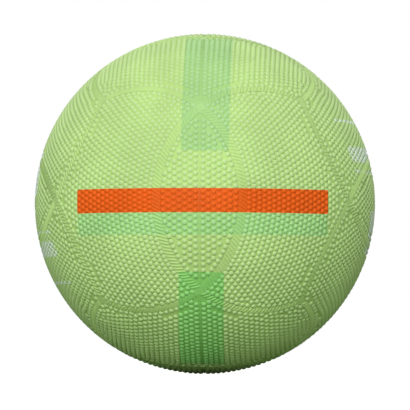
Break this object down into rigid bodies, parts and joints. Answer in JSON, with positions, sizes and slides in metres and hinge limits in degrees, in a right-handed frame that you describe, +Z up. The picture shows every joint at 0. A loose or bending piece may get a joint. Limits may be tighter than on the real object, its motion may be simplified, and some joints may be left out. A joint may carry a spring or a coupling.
{
  "type": "dodgeball",
  "caption": "Rubber dodgeball with a pebbled cover of lens and pentagon panels, smooth seams between them, and a needle valve flush with the left panel.",
  "frame": {"origin": "centre of the ball", "axes": "+Z up, the front lens panel faces -Y, -X points out through the valve"},
  "size_m": [0.21, 0.21, 0.21],
  "materials": {
    "cover_rubber": "pebbled, semi-gloss",
    "seam_rubber": "smooth, satin",
    "nylon_thread": "wound thread set in latex",
    "bladder_rubber": "smooth, matt",
    "valve_rubber": "moulded, satin",
    "plug_rubber": "moulded, satin"
  },
  "bodies": {
    "root": {"lens_panel_front": "cover_rubber", "lens_panel_rear": "cover_rubber", "lens_panel_top": "cover_rubber", "lens_panel_bottom": "cover_rubber", "lens_panel_left": "cover_rubber", "lens_panel_right": "cover_rubber", "pentagon_panel_front_left": "cover_rubber", "pentagon_panel_front_right": "cover_rubber", "pentagon_panel_rear_left": "cover_rubber", "pentagon_panel_rear_right": "cover_rubber", "pentagon_panel_top_front": "cover_rubber", "pentagon_panel_top_rear": "cover_rubber", "pentagon_panel_bottom_front": "cover_rubber", "pentagon_panel_bottom_rear": "cover_rubber", "pentagon_panel_left_top": "cover_rubber", "pentagon_panel_left_bottom": "cover_rubber", "pentagon_panel_right_top": "cover_rubber", "pentagon_panel_right_bottom": "cover_rubber", "carcass": "seam_rubber", "thread_winding": "nylon_thread", "bladder": "bladder_rubber", "valve_housing": "valve_rubber", "valve_plug": "plug_rubber"}
  },
  "joints": []
}
